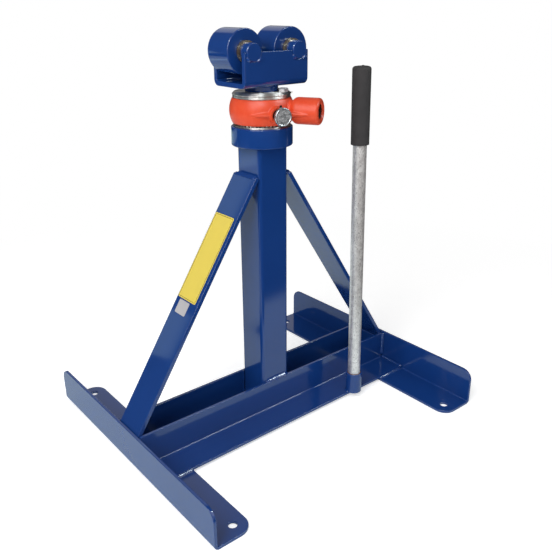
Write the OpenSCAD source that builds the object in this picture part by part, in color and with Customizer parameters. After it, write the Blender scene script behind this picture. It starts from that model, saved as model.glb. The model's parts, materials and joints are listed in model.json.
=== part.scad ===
// Ratchet screw jack for cable drums: a welded angle base, a square column, a lifting screw that carries
// a saddle with two rollers, and a ratchet head with a reversible plunger pawl that turns the nut.
// Millimetres, +Z up. The origin is on the floor below the column's axis, and +X runs along the rails.

/* [Base] */
// Length of the base over the outer faces of the feet
base_len = 740; // [600:1:1000]
// Length of each foot
foot_len = 642; // [460:1:900]
// Width of a foot's leg on the floor
foot_w = 88.9; // [75:0.1:130]
// Height of a foot's upright leg
foot_h = 86; // [70:0.1:120]
// Plate thickness of the feet
foot_t = 6.35; // [4:0.05:9]
// Outer bend radius of the feet
foot_bend_r = 10; // [9.5:0.1:14]
// Corner radius round each floor hole
foot_corner_r = 29.5; // [18:0.1:34]
// Corner radius at the ends of the upright legs
foot_top_r = 25; // [8:0.5:40]
// Diameter of the floor holes
foot_hole_d = 17.5; // [10:0.1:22]
// Leg width of the rails
rail_w = 76.2; // [60:0.1:100]
// Plate thickness of the rails
rail_t = 6.35; // [4:0.05:9]
// Outer bend radius of the rails
rail_bend_r = 9.5; // [9.2:0.1:14]

/* [Column] */
// Side of the square column
column_w = 76.2; // [72:0.1:90]
// Wall of the column
column_t = 6.35; // [4:0.05:7]
// Outer corner radius of the column
column_corner_r = 8; // [7.2:0.1:12]
// Height of the column's top above the floor
column_top = 625.5; // [560:0.5:720]
// Thickness of the flat bar braces
brace_t = 9.5; // [6:0.1:14]
// Distance from the column's top down to the braces
brace_drop = 44.5; // [20:0.5:120]
// Distance from a foot's top edge down to the brace on it
brace_step = 6; // [2:0.5:12]
// Diameter of the collar that closes the column
collar_d = 127; // [122:0.5:140]
// Height of the collar
collar_h = 39; // [24:0.5:50]
// Outer diameter of the guide bush in the collar
guide_bush_d = 64; // [60:0.5:70]

/* [Screw] */
// Outer diameter of the lifting screw
screw_d = 50.8; // [44:0.1:54]
// Rise of the screw for each turn of the nut
thread_pitch = 6.35; // [4:0.05:10]
// Turns of the nut from lowest to highest
lift_turns = 48; // [20:1:48]
// Distance from the collar down to the guide block at full lift
guide_stop = 11; // [5:0.5:40]
// Height of the square guide block
guide_h = 60; // [40:0.5:90]
// Diameter of the screw's spigot in the guide block
spigot_d = 30; // [24:0.5:38]
// Diameter of the bolt under the guide block
guide_bolt_d = 12; // [8:1:16]

/* [Bearing] */
// Diameter of the thrust bearing's balls
ball_d = 6.35; // [5:0.05:8]
// Number of balls
ball_count = 40; // [24:2:44]
// Diameter of the circle of balls
ball_circle_d = 104; // [100:0.5:108]
// Outer diameter of the lower race
race_d = 118; // [114:0.5:121]
// Thickness of each race at its edge
race_t = 3; // [2.5:0.1:5]
// Depth of the ball groove in each race
groove_depth = 1; // [0.6:0.1:1.4]
// Clear width between the guide bush and the races
race_bore_gap = 8; // [4:0.5:9]

/* [Ratchet nut] */
// Diameter of the nut over its teeth and shoulders
nut_d = 104; // [100:0.5:105]
// Number of ratchet teeth
tooth_count = 24; // [12:12:24]
// Depth of the teeth
tooth_depth = 7; // [5:0.1:8]
// Width of a tooth gap at the tips
tooth_gap_w = 7.6; // [7:0.1:8.4]
// Width of a tooth gap at the roots
tooth_root_w = 6; // [5.8:0.1:6.8]
// Height of the toothed band
tooth_h = 18; // [17.5:0.5:22]
// Thickness of the nut's bottom flange
nut_flange_t = 5; // [3:0.5:7]
// Thickness of the thrust washer on the head
washer_t = 5.2; // [3:0.1:8]
// Thickness of the retaining ring on top
ring_t = 6.5; // [4:0.1:9]
// Diameter of the retaining ring
ring_d = 119.4; // [116:0.1:124]
// Wall of the nut outside the ring's bolts
ring_bolt_wall = 1.8; // [1.2:0.1:2.4]
// Width across the flats of the ring's bolts
ring_bolt_af = 19; // [16:0.5:19]
// Thread diameter of the ring's bolts
ring_bolt_d = 8; // [6:0.5:9]
// Depth of the ring's bolts in the nut
ring_bolt_grip = 14; // [10:0.5:18]
// Width of the split in the retaining ring
ring_split_w = 3; // [1:0.5:5]
// Distance by which the ring's turned-out end stands out of it
ring_end_out = 3.5; // [1:0.5:5]

/* [Ratchet head] */
// Diameter of the head casting at its rims
head_rim_d = 120; // [118:0.5:126]
// Diameter of the head casting at its middle
head_mid_d = 132.6; // [128:0.1:140]
// Height of the head casting
head_h = 50; // [48:0.5:56]
// Gap between the lower race and the head casting
head_lift = 3.4; // [3:0.1:3.8]
// Height of the pawl above the casting's bottom rim
head_axis_h = 22; // [21:0.5:25]
// Height of the handle socket above the casting's bottom rim
socket_axis_h = 26; // [24:0.5:28]
// Direction of the handle socket, in degrees from +X
socket_az = -60; // [-66:1:-40]
// Distance of the socket's mouth from the head's axis
socket_reach = 127; // [120:0.5:150]
// Outer diameter of the socket
socket_d = 53; // [52:0.5:58]
// Diameter of the socket's neck
socket_neck_d = 37; // [35:0.5:42]
// Diameter of the socket's bore
socket_bore_d = 31; // [30.5:0.1:33]
// Depth of the socket's bore
socket_depth = 52; // [30:0.5:54]
// Radius of the socket's shoulder
socket_shoulder_r = 13; // [8:0.5:13]
// Radius of the socket's outer rim
socket_rim_r = 6; // [2:0.5:8]
// Width and depth of the flare at the socket's mouth
socket_flare = 3; // [1:0.5:4]
// Distance by which the cast ribs stand out of the head at the pawl
rib_out = 7.7; // [4:0.1:9]
// Arc that a rib on the head covers from the pawl to its tip, in degrees
rib_arc = 49; // [40:1:55]
// Height of a cast rib for each millimetre that it stands out, on each side of its ridge
rib_slope = 1; // [0.6:0.1:1.2]
// Length of the rib along the socket
socket_rib_len = 48; // [20:1:50]
// Radius of the socket's rib at the head
socket_rib_r = 7.5; // [4:0.5:8]

/* [Pawl] */
// Direction of the pawl, in degrees from +X
pawl_az = -102; // [-112:1:-96]
// Diameter of the pawl plunger
pawl_d = 16; // [12:0.5:16]
// Travel of the pawl from held out to engaged
pawl_travel = 6.5; // [4:0.1:6.5]
// Width of the pawl's tongue
tongue_w = 5; // [4:0.1:5.2]
// Diameter of the pawl's stem
stem_d = 8; // [6:0.5:9]
// Diameter of the boss on the head that holds the pawl
pawl_boss_d = 34; // [31:0.5:38]
// Diameter of the spring chamber and of the gland that closes it
gland_d = 23; // [21:0.5:25]
// Diameter of the pawl's knob
knob_d = 36; // [28:0.5:42]
// Thickness of the knob
knob_t = 7.5; // [5:0.5:10]
// Diameter of the cross pin under the knob
cross_pin_d = 5; // [3:0.5:5.5]
// Length of the cross pin
cross_pin_len = 42; // [36:0.5:46]
// Wire diameter of the pawl spring
spring_wire_d = 1.2; // [0.8:0.1:1.3]
// Turns of the pawl spring
spring_turns = 4; // [3:1:4]

/* [Saddle] */
// Height of the boss between the screw and the saddle
boss_h = 11.7; // [10:0.1:24]
// Length of the saddle channel
saddle_len = 158; // [150:0.5:190]
// Width of the saddle channel
saddle_w = 103; // [98:0.5:120]
// Height of the saddle channel
saddle_h = 66.5; // [60:0.5:80]
// Plate thickness of the saddle channel
saddle_t = 9.5; // [6:0.1:12]
// Outer bend radius of the saddle channel
saddle_bend_r = 13; // [12.5:0.5:18]
// Distance between the axes of the rollers
roller_pitch = 113; // [100:0.5:118]
// Diameter of the rollers
roller_d = 85; // [80:0.5:90]
// Length of the rollers
roller_len = 66; // [50:0.5:70]
// Distance between the rollers and the rear plate
roller_side_gap = 1; // [0.5:0.1:4]
// Rounded edge of the rollers
roller_edge = 2; // [0.5:0.5:4]
// Diameter of the roller pins
pin_d = 34.9; // [30:0.1:38]
// Distance by which a pin stands out of a plate
pin_proud = 1.5; // [0.5:0.5:4]
// Wall of the roller bushes
bush_wall = 3; // [2:0.1:4]
// Length of a bush that shows in front of its roller
bush_nose = 8; // [4:0.5:10]

/* [Handle] */
// Diameter of the handle tube
handle_d = 29.5; // [26:0.1:29.8]
// Wall of the handle tube
handle_wall = 2.2; // [1.5:0.1:4]
// Length of the handle tube
handle_len = 760; // [560:1:760]
// Diameter of the grip
grip_d = 39; // [34:0.5:42]
// Length of the grip
grip_len = 158; // [100:1:180]
// Thickness of the grip's closed end
grip_end_t = 4; // [2:0.5:8]
// Radius round the grip's closed end
grip_round = 6; // [2:0.5:8]
// Place of the handle holder along the rail
holder_x = 184; // [150:1:240]
// Outer diameter of the holder sleeve
holder_d = 38.1; // [36:0.1:44]
// Inner diameter of the holder sleeve
holder_bore_d = 31.8; // [31.6:0.1:33]
// Height of the holder sleeve
holder_h = 50.8; // [30:0.1:60]
// Lean of the handle in its loose holder, in degrees
handle_lean = 1.157; // [0:0.001:1.2]

/* [Fits] */
// Gap round pieces that turn or slide in each other
run_gap = 0.08; // [0.03:0.01:0.1]
// Gap round pieces that are pressed or screwed together
seat_gap = 0.05; // [0.02:0.01:0.1]
// Gap between faces that pass each other
pass_gap = 0.3; // [0.2:0.05:0.5]
// Gap on each side of the guide block in the column
guide_gap = 0.4; // [0.3:0.05:0.6]

/* [Hidden] */
$fn = 96;
cut = 1;

// Base and column
foot_face_x = base_len / 2;
foot_inner_x = foot_face_x - foot_t;
foot_hole_x = foot_face_x - foot_w + foot_corner_r;
foot_hole_y = foot_len / 2 - foot_corner_r;
rail_half_len = foot_inner_x - (foot_bend_r - foot_t) - pass_gap;
rail_top_z = foot_t + rail_t;
rail_edge_y = column_w / 2 + rail_w;
column_inner_w = column_w - 2 * column_t;
brace_w = column_w - 2 * seat_gap;
brace_top_z = column_top - brace_drop;
brace_foot_z = foot_h - brace_step;
brace_angle = atan2(brace_top_z - brace_foot_z, foot_inner_x - column_w / 2);
brace_rise = brace_t / cos(brace_angle);
edge_chamfer = 1.5;

// Heights of the head, from the collar upwards
collar_top = column_top + collar_h;
ball_r = ball_d / 2;
ball_z = collar_top + race_t + ball_r - groove_depth;
upper_race_z = ball_z + ball_r - groove_depth + pass_gap;
nut_z = upper_race_z + race_t;
head_z = collar_top + race_t + head_lift;
head_axis_z = head_z + head_axis_h;
socket_axis_z = head_z + socket_axis_h;
head_top_z = head_z + head_h;
washer_z = head_top_z + pass_gap;
ring_z = washer_z + washer_t;
ring_top_z = ring_z + ring_t;
boss_z = ring_top_z + pass_gap;
saddle_z = boss_z + boss_h;
roller_axis_z = saddle_z + saddle_h;

// Screw and guide block
lift = thread_pitch * lift_turns;
guide_top_z = column_top - guide_stop - lift;
guide_z = guide_top_z - guide_h;
guide_w = column_inner_w - 2 * guide_gap;
guide_corner_r = 4;
guide_washer_t = 4;
guide_washer_rim = 8;
guide_washer_d = spigot_d + 2 * guide_washer_rim;
guide_bolt_af = 1.6 * guide_bolt_d;
guide_bolt_head = 0.65 * guide_bolt_d;
guide_bolt_len = 30;
screw_hole_d = screw_d + 2 * run_gap;

// Bearing and nut
race_inner_d = guide_bush_d + 2 * race_bore_gap;
upper_race_d = ball_circle_d + ball_d + 2;
flange_d = upper_race_d;
head_recess_d = flange_d + 4 * pass_gap;
head_step_z = nut_z + nut_flange_t + pass_gap;
head_bore_d = nut_d + 2 * run_gap;
ring_bore_d = screw_d + 4;
socket_floor_t = 5;
rib_ridge_w = 2;
ring_bolt_circle = nut_d - ring_bolt_d - 2 * ring_bolt_wall;
ring_bolt_len = ring_t + washer_t + ring_bolt_grip;
ring_bolt_head = 0.8 * ring_bolt_d;
washer_chamfer = 0.8;
boss_gap = 1.2;
boss_d = ring_bolt_circle - ring_bolt_af / cos(30) - 2 * boss_gap;
ring_bolt_azs = [-58, 58];
ring_split_az = -36;
ring_end_w = 5;
ring_end_h = 3.2;
wire_gap = 0.1;

// Places along the pawl's axis, measured outwards from the head's axis, with the pawl held out
pawl_tip = nut_d / 2 + 2 * pass_gap;
pawl_guide_len = 5;
gland_floor_t = 2.5;
knob_gap = 2;
guide_hole_end = nut_d / 2 + pawl_guide_len;
washer_end_t = 1.2;
plunger_end = guide_hole_end + pawl_travel + 2 * pass_gap;
spring_start = plunger_end + washer_end_t;
spring_room = 6.8;
tongue_spare = 1;
tongue_bevel = 35;
gland_start = spring_start + spring_room;
slot_floor = gland_start + gland_floor_t;
gland_end = slot_floor + pawl_travel + pass_gap;
boss_end = slot_floor - 2 * pass_gap;
cross_pin_r = gland_end + pass_gap + cross_pin_d / 2;
knob_back = gland_end + pawl_travel + knob_gap;
knob_face = knob_back + knob_t;
stem_end = knob_back + knob_t / 2;
slot_w = cross_pin_d + 2 * pass_gap;

// Saddle and rollers
rear_plate_y = saddle_w / 2 - saddle_t;
roller_y1 = rear_plate_y - roller_side_gap;
roller_y0 = roller_y1 - roller_len;
bush_d = pin_d + 2 * run_gap + 2 * bush_wall;

// Handle
handle_base_z = rail_top_z + pass_gap + handle_d / 2 * sin(handle_lean);
holder_mid_z = rail_top_z + holder_h / 2;

// A ring between two diameters
module ring(outer_d, inner_d, h) {
  difference() {
    cylinder(d = outer_d, h = h);
    translate([0, 0, -cut]) cylinder(d = inner_d, h = h + 2 * cut);
  }
}

// A rectangle in the first quadrant whose corner at the origin is round
module heel(w, h, r) {
  translate([r, 0]) square([w - r, h]);
  translate([0, r]) square([w, h - r]);
  translate([r, r]) circle(r);
}

// The section of a formed angle, with its heel at the origin
module angle_section(w, h, t, bend_r) {
  difference() {
    heel(w, h, bend_r);
    translate([t, t]) heel(w, h, bend_r - t);
  }
}

// A square with four round corners, about the origin
module round_square(w, r) {
  for (a = [0, 90]) rotate(a) square([w, w - 2 * r], center = true);
  for (x = [-1, 1], y = [-1, 1]) translate([x * (w / 2 - r), y * (w / 2 - r)]) circle(r);
}

// What a corner of this radius loses, with the corner at the origin and the plate in the first quadrant
module corner_waste(r) {
  difference() {
    translate([-cut, -cut]) square(r + cut);
    translate([r, r]) circle(r);
  }
}

// Places children along a level line out of the head, whose own +Z points outwards
module on_head(az, z = head_axis_z) {
  rotate([0, 0, az]) translate([0, 0, z]) rotate([0, 90, 0]) children();
}

// A turned bar about +Z with chamfered ends
module turned_bar(d, h, chamfer) {
  r = d / 2;
  rotate_extrude() polygon([
    [0, 0], [r - chamfer, 0], [r, chamfer], [r, h - chamfer], [r - chamfer, h], [0, h]
  ]);
}

// A hexagon bolt with its head's underside on the XY plane and its shank below
module hex_bolt(af, head_h, shank_d, shank_len) {
  cylinder(d = af / cos(30), h = head_h, $fn = 6);
  translate([0, 0, -shank_len]) cylinder(d = shank_d, h = shank_len + head_h / 2);
}

// A foot with its upright leg on the -X side
module foot() {
  color("midnightblue") difference() {
    translate([-foot_face_x, 0, 0]) rotate([90, 0, 0])
      linear_extrude(foot_len, center = true) angle_section(foot_w, foot_h, foot_t, foot_bend_r);
    for (y = [-1, 1]) {
      translate([-foot_hole_x, y * foot_hole_y, -cut]) cylinder(d = foot_hole_d, h = foot_t + 2 * cut);
      translate([-foot_face_x + foot_w, y * foot_len / 2, -cut]) mirror([1, 0, 0])
        scale([1, -y, 1]) linear_extrude(foot_t + 2 * cut) corner_waste(foot_corner_r);
      translate([-foot_face_x - cut, y * foot_len / 2, foot_h]) rotate([90, 0, 90])
        scale([-y, -1, 1]) linear_extrude(foot_t + 2 * cut) corner_waste(foot_top_r);
    }
  }
}

module left_foot() { foot(); }

module right_foot() { mirror([1, 0, 0]) foot(); }

// A rail on the -Y side: its upright leg lies on the column and its other leg points outwards
module rail() {
  color("midnightblue") translate([0, -column_w / 2, foot_t]) rotate([90, 0, -90])
    linear_extrude(2 * rail_half_len, center = true) angle_section(rail_w, rail_w, rail_t, rail_bend_r);
}

module front_rail() { rail(); }

module rear_rail() { mirror([0, 1, 0]) rail(); }

module column_tube() {
  color("midnightblue") translate([0, 0, foot_t]) linear_extrude(column_top - foot_t) difference() {
    round_square(column_w, column_corner_r);
    round_square(column_inner_w, column_corner_r - column_t);
  }
}

// A brace on the -X side, from the column's side down to the foot's upright leg
module brace() {
  x_in = -column_w / 2;
  x_out = -foot_inner_x;
  color("midnightblue") rotate([90, 0, 0]) linear_extrude(brace_w, center = true) polygon([
    [x_in, brace_top_z], [x_out, brace_foot_z], [x_out, brace_foot_z - brace_rise],
    [x_in, brace_top_z - brace_rise]
  ]);
}

module left_brace() { brace(); }

module right_brace() { mirror([1, 0, 0]) brace(); }

module top_collar() {
  color("midnightblue") translate([0, 0, column_top]) difference() {
    turned_bar(collar_d, collar_h, edge_chamfer);
    translate([0, 0, -cut]) cylinder(d = guide_bush_d + 2 * seat_gap, h = collar_h + 2 * cut);
  }
}

module guide_bush() {
  color("darkgoldenrod") translate([0, 0, column_top]) ring(guide_bush_d, screw_hole_d, collar_h);
}

module handle_holder() {
  color("midnightblue") translate([holder_x, -rail_edge_y, rail_top_z])
    ring(holder_d, holder_bore_d, holder_h);
}

// The track that the balls run in
module ball_track(gap) {
  translate([0, 0, ball_z]) rotate_extrude() translate([ball_circle_d / 2, 0]) circle(ball_r + gap);
}

module bearing_lower_race() {
  color("silver") difference() {
    translate([0, 0, collar_top]) ring(race_d, race_inner_d, race_t);
    ball_track(seat_gap);
  }
}

module bearing_balls() {
  color("silver") for (i = [0 : ball_count - 1])
    rotate([0, 0, i * 360 / ball_count]) translate([ball_circle_d / 2, 0, ball_z]) sphere(ball_r);
}

module bearing_upper_race() {
  color("silver") difference() {
    translate([0, 0, upper_race_z]) ring(upper_race_d, race_inner_d, race_t);
    ball_track(pass_gap);
  }
}

// One gap between two ratchet teeth, on the pawl's side of the nut
module tooth_gap() {
  tip = nut_d / 2 + cut;
  root = nut_d / 2 - tooth_depth;
  flare = (tooth_gap_w - tooth_root_w) / 2 * (tooth_depth + cut) / tooth_depth;
  half_root = tooth_root_w / 2;
  linear_extrude(tooth_h) polygon([
    [root, -half_root], [tip, -half_root - flare], [tip, half_root + flare], [root, half_root]
  ]);
}

module ratchet_nut() {
  color("darkgoldenrod") difference() {
    union() {
      translate([0, 0, nut_z]) cylinder(d = nut_d, h = washer_z - nut_z);
      translate([0, 0, nut_z]) cylinder(d = flange_d, h = nut_flange_t);
    }
    translate([0, 0, nut_z - cut]) cylinder(d = screw_hole_d, h = washer_z - nut_z + 2 * cut);
    for (i = [0 : tooth_count - 1]) rotate([0, 0, pawl_az + i * 360 / tooth_count])
      translate([0, 0, head_axis_z - tooth_h / 2]) tooth_gap();
    ring_bolt_places() translate([0, 0, -ring_bolt_len])
      cylinder(d = ring_bolt_d + 2 * seat_gap, h = ring_bolt_len + cut);
  }
}

// The two bolts that lock the retaining ring, at the ring's top face
module ring_bolt_places() {
  for (az = ring_bolt_azs) rotate([0, 0, az]) translate([ring_bolt_circle / 2, 0, ring_top_z]) children();
}

module thrust_washer() {
  color("silver") difference() {
    translate([0, 0, washer_z]) difference() {
      turned_bar(race_d, washer_t, washer_chamfer);
      translate([0, 0, -cut]) cylinder(d = ring_bore_d, h = washer_t + 2 * cut);
    }
    ring_bolt_places() translate([0, 0, -ring_bolt_len])
      cylinder(d = ring_bolt_d + 2 * seat_gap, h = ring_bolt_len);
  }
}

// A split ring, with one end turned out beside the split
module retaining_ring() {
  color("silver") difference() {
    translate([0, 0, ring_z]) difference() {
      union() {
        turned_bar(ring_d, ring_t, edge_chamfer);
        rotate([0, 0, ring_split_az]) translate([0, ring_split_w / 2, 0])
          cube([ring_d / 2 + ring_end_out, ring_end_w, ring_end_h]);
      }
      translate([0, 0, -cut]) cylinder(d = ring_bore_d, h = ring_t + 2 * cut);
      rotate([0, 0, ring_split_az]) translate([0, -ring_split_w / 2, -cut])
        cube([ring_d, ring_split_w, ring_t + 2 * cut]);
    }
    ring_bolt_places() translate([0, 0, -ring_bolt_len])
      cylinder(d = ring_bolt_d + 2 * seat_gap, h = ring_bolt_len + cut);
  }
}

module ring_bolts() {
  color("silver") ring_bolt_places()
    hex_bolt(ring_bolt_af, ring_bolt_head, ring_bolt_d, ring_bolt_len - cut);
}

// The barrel of the head: an arc that swells from rim to rim
module barrel() {
  swell = (head_mid_d - head_rim_d) / 2;
  arc_r = (head_h * head_h / 4 + swell * swell) / (2 * swell);
  translate([0, 0, head_z]) rotate_extrude() intersection() {
    translate([head_mid_d / 2 - arc_r, head_h / 2]) circle(arc_r, $fn = 180);
    square([head_mid_d, head_h]);
  }
}

// The handle socket: a neck, a round shoulder and a barrel with a round rim
module socket() {
  r = socket_d / 2;
  shoulder_end = socket_reach - socket_depth + socket_floor_t;
  rim = socket_reach - socket_rim_r;
  on_head(socket_az, socket_axis_z) rotate_extrude() {
    square([socket_neck_d / 2, rim]);
    translate([r - socket_shoulder_r, shoulder_end]) circle(socket_shoulder_r);
    translate([0, shoulder_end]) square([r, rim - shoulder_end]);
    square([r - socket_rim_r, socket_reach]);
    translate([r - socket_rim_r, rim]) circle(socket_rim_r);
  }
}

// A cast rib round the barrel. Its circle's centre lies off the head's axis towards the pawl, so the ridge
// stands out most at the pawl's boss and sinks into the barrel on both sides.
module barrel_rib() {
  barrel_r = head_mid_d / 2;
  peak = barrel_r + rib_out;
  tip = [barrel_r * cos(rib_arc), barrel_r * sin(rib_arc)];
  centre = (peak * peak - barrel_r * barrel_r) / (2 * (peak - tip.x));
  ridge = peak - centre;
  depth = 2 * rib_out;
  rotate([0, 0, pawl_az]) translate([centre, 0, head_axis_z]) rotate_extrude() polygon([
    [ridge - depth, -depth * rib_slope], [ridge - rib_ridge_w / 2, -rib_ridge_w / 2],
    [ridge, 0], [ridge - rib_ridge_w / 2, rib_ridge_w / 2], [ridge - depth, depth * rib_slope]
  ]);
}

// The rib along the socket, which carries on from the barrel's rib
module socket_rib() {
  on_head(socket_az) translate([0, rib_ridge_w / 2 - socket_d / 2, head_mid_d / 2 - socket_rib_r])
    cylinder(h = socket_rib_len, r1 = socket_rib_r, r2 = rib_ridge_w);
}

module ratchet_body() {
  color("orangered") difference() {
    union() {
      barrel();
      socket();
      on_head(pawl_az) cylinder(d = pawl_boss_d, h = boss_end);
      barrel_rib();
      socket_rib();
    }
    translate([0, 0, head_z - cut]) cylinder(d = head_recess_d, h = head_step_z - head_z + cut);
    translate([0, 0, head_z - cut]) cylinder(d = head_bore_d, h = head_h + 2 * cut);
    on_head(socket_az, socket_axis_z) translate([0, 0, socket_reach - socket_depth])
      cylinder(d = socket_bore_d, h = socket_depth + cut);
    on_head(socket_az, socket_axis_z) translate([0, 0, socket_reach - socket_flare])
      cylinder(d1 = socket_bore_d, d2 = socket_bore_d + 4 * socket_flare, h = 2 * socket_flare);
    on_head(pawl_az) {
      cylinder(d = pawl_d + 2 * run_gap, h = guide_hole_end + cut);
      translate([0, 0, guide_hole_end]) cylinder(d = gland_d + 2 * seat_gap, h = boss_end);
    }
  }
}

// The gland that closes the spring chamber, with the slot that the cross pin drops into
module pawl_gland() {
  color("dimgray") on_head(pawl_az) difference() {
    translate([0, 0, gland_start]) cylinder(d = gland_d, h = gland_end - gland_start);
    translate([0, 0, gland_start - cut]) cylinder(d = stem_d + 2 * run_gap, h = gland_end);
    translate([-gland_d, -slot_w / 2, slot_floor]) cube([2 * gland_d, slot_w, gland_end]);
  }
}

// A point of the spring's wire: a circle swept along a helix
function wire_point(a, b, turn_r, rise, wire_r) = let(
  radius = turn_r + wire_r * cos(b)
) [radius * cos(a), radius * sin(a), rise * a / 360 + wire_r * sin(b)];

module pawl_spring() {
  wire_r = spring_wire_d / 2;
  turn_r = gland_d / 2 - wire_r - 2 * pass_gap;
  span = spring_room - 2 * wire_r - 2 * wire_gap;
  rise = span / spring_turns;
  sides = 8;
  steps = 24;
  rings = spring_turns * steps;
  points = [for (i = [0 : rings], j = [0 : sides - 1])
    wire_point(i * 360 / steps, j * 360 / sides, turn_r, rise, wire_r)];
  skin = [for (i = [0 : rings - 1], j = [0 : sides - 1]) let(
    a = i * sides + j,
    b = i * sides + (j + 1) % sides
  ) [a, a + sides, b + sides, b]];
  first = [for (j = [0 : sides - 1]) j];
  last = [for (j = [sides - 1 : -1 : 0]) rings * sides + j];
  color("silver") on_head(pawl_az) translate([0, 0, spring_start + wire_r + wire_gap])
    polyhedron(points, concat(skin, [first, last]));
}

module pawl_washer() {
  color("silver") on_head(pawl_az) translate([0, 0, plunger_end])
    ring(gland_d - 4 * pass_gap, stem_d + 2 * run_gap, washer_end_t);
}

// The plunger: a guided barrel with a tongue bevelled on one side, and the stem to the knob
module pawl_plunger() {
  tongue_len = tooth_depth + tongue_spare;
  color("silver") on_head(pawl_az) {
    difference() {
      translate([0, 0, pawl_tip]) cylinder(d = pawl_d, h = plunger_end - pawl_tip);
      for (y = [-1, 1]) translate([-pawl_d, y * (tongue_w / 2 + pawl_d) - pawl_d, pawl_tip - cut])
        cube([2 * pawl_d, 2 * pawl_d, tongue_len + cut]);
      translate([-pawl_d, -tongue_w / 2, pawl_tip]) rotate([-tongue_bevel, 0, 0])
        translate([0, -pawl_d, -pawl_d]) cube([2 * pawl_d, 2 * pawl_d, pawl_d]);
    }
    difference() {
      translate([0, 0, plunger_end - cut]) cylinder(d = stem_d, h = stem_end - plunger_end + cut);
      translate([-pawl_d, 0, cross_pin_r]) rotate([0, 90, 0])
        cylinder(d = cross_pin_d + 2 * seat_gap, h = 2 * pawl_d);
    }
  }
}

module cross_pin() {
  color("dimgray") on_head(pawl_az) translate([-cross_pin_len / 2, 0, cross_pin_r]) rotate([0, 90, 0])
    turned_bar(cross_pin_d, cross_pin_len, cross_pin_d / 10);
}

// The knob: a turned disc with a raised rim round a shallow dish
module pawl_knob() {
  r = knob_d / 2;
  rim_w = 2.5;
  dish = 1.2;
  soft = 1.2;
  color("gainsboro") on_head(pawl_az) difference() {
    translate([0, 0, knob_back]) rotate_extrude() polygon([
      [0, 0], [r - soft, 0], [r, soft], [r, knob_t - soft], [r - soft, knob_t], [r - rim_w, knob_t],
      [r - rim_w - dish, knob_t - dish], [0, knob_t - dish]
    ]);
    translate([0, 0, knob_back - cut])
      cylinder(d = stem_d + 2 * seat_gap, h = stem_end - knob_back + cut + seat_gap);
  }
}

module lifting_screw() {
  color("silver") difference() {
    union() {
      translate([0, 0, guide_top_z]) cylinder(d = screw_d, h = saddle_z - guide_top_z);
      translate([0, 0, guide_z]) cylinder(d = spigot_d, h = guide_h + cut);
    }
    translate([0, 0, guide_z - cut]) cylinder(d = guide_bolt_d + 2 * seat_gap, h = guide_bolt_len + 2 * cut);
  }
}

module saddle_boss() {
  color("midnightblue") translate([0, 0, boss_z]) ring(boss_d, screw_d + 2 * seat_gap, boss_h);
}

// The places of the two rollers, with +Z along the roller's axis and the origin on the head's centre plane
module roller_place(side) {
  translate([side * roller_pitch / 2, 0, roller_axis_z]) rotate([-90, 0, 0]) children();
}

// A channel open at the top, with half-round notches for the roller pins
module saddle_channel() {
  inner_r = saddle_bend_r - saddle_t;
  color("midnightblue") difference() {
    translate([0, 0, saddle_z]) rotate([90, 0, 90]) linear_extrude(saddle_len, center = true) difference() {
      channel_outline(saddle_w, saddle_bend_r, 0);
      channel_outline(saddle_w - 2 * saddle_t, inner_r, saddle_t);
    }
    for (side = [-1, 1]) roller_place(side) translate([0, 0, -saddle_w])
      cylinder(d = pin_d + 2 * seat_gap, h = 2 * saddle_w);
  }
}

// A rectangle that is round at its two lower corners and reaches the saddle's top
module channel_outline(w, r, z) {
  for (side = [0, 1]) mirror([side, 0]) translate([-w / 2, z]) heel(w / 2 + cut, saddle_h - z, r);
}

module roller_pin(side) {
  len = saddle_w + 2 * pin_proud;
  color("midnightblue") roller_place(side) translate([0, 0, -len / 2]) turned_bar(pin_d, len, edge_chamfer);
}

module left_roller_pin() { roller_pin(-1); }

module right_roller_pin() { roller_pin(1); }

module roller(side) {
  color("midnightblue") roller_place(side) translate([0, 0, roller_y0]) difference() {
    rotate_extrude() {
      square([roller_d / 2 - roller_edge, roller_len]);
      translate([0, roller_edge]) square([roller_d / 2, roller_len - 2 * roller_edge]);
      for (y = [roller_edge, roller_len - roller_edge])
        translate([roller_d / 2 - roller_edge, y]) circle(roller_edge);
    }
    translate([0, 0, -cut]) cylinder(d = bush_d + 2 * seat_gap, h = roller_len + 2 * cut);
  }
}

module bush(side) {
  color("darkgoldenrod") roller_place(side) translate([0, 0, roller_y0 - bush_nose])
    ring(bush_d, pin_d + 2 * run_gap, roller_len + bush_nose);
}

module left_roller() { roller(-1); }

module right_roller() { roller(1); }

module left_bush() { bush(-1); }

module right_bush() { bush(1); }

module guide_block() {
  color("dimgray") translate([0, 0, guide_z]) linear_extrude(guide_h) difference() {
    round_square(guide_w, guide_corner_r);
    circle(d = spigot_d + 2 * seat_gap);
  }
}

module guide_washer() {
  color("silver") translate([0, 0, guide_z - guide_washer_t])
    ring(guide_washer_d, guide_bolt_d + 2 * seat_gap, guide_washer_t);
}

module guide_bolt() {
  color("silver") translate([0, 0, guide_z - guide_washer_t]) mirror([0, 0, 1])
    hex_bolt(guide_bolt_af, guide_bolt_head, guide_bolt_d, guide_washer_t + guide_bolt_len);
}

// The handle's own axis: it leans in its loose holder, about the middle of the sleeve
module on_handle() {
  translate([holder_x, -rail_edge_y, holder_mid_z]) rotate([0, -handle_lean, 0])
    translate([0, 0, handle_base_z - holder_mid_z]) children();
}

module handle_tube() {
  color("lightgray") on_handle() ring(handle_d, handle_d - 2 * handle_wall, handle_len);
}

module handle_grip() {
  start = handle_len + grip_end_t - grip_len;
  r = grip_d / 2;
  color("black") on_handle() translate([0, 0, start]) difference() {
    rotate_extrude() {
      square([r, grip_len - grip_round]);
      square([r - grip_round, grip_len]);
      translate([r - grip_round, grip_len - grip_round]) circle(grip_round);
    }
    translate([0, 0, -cut]) cylinder(d = handle_d + 2 * seat_gap, h = grip_len - grip_end_t + cut);
  }
}

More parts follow.
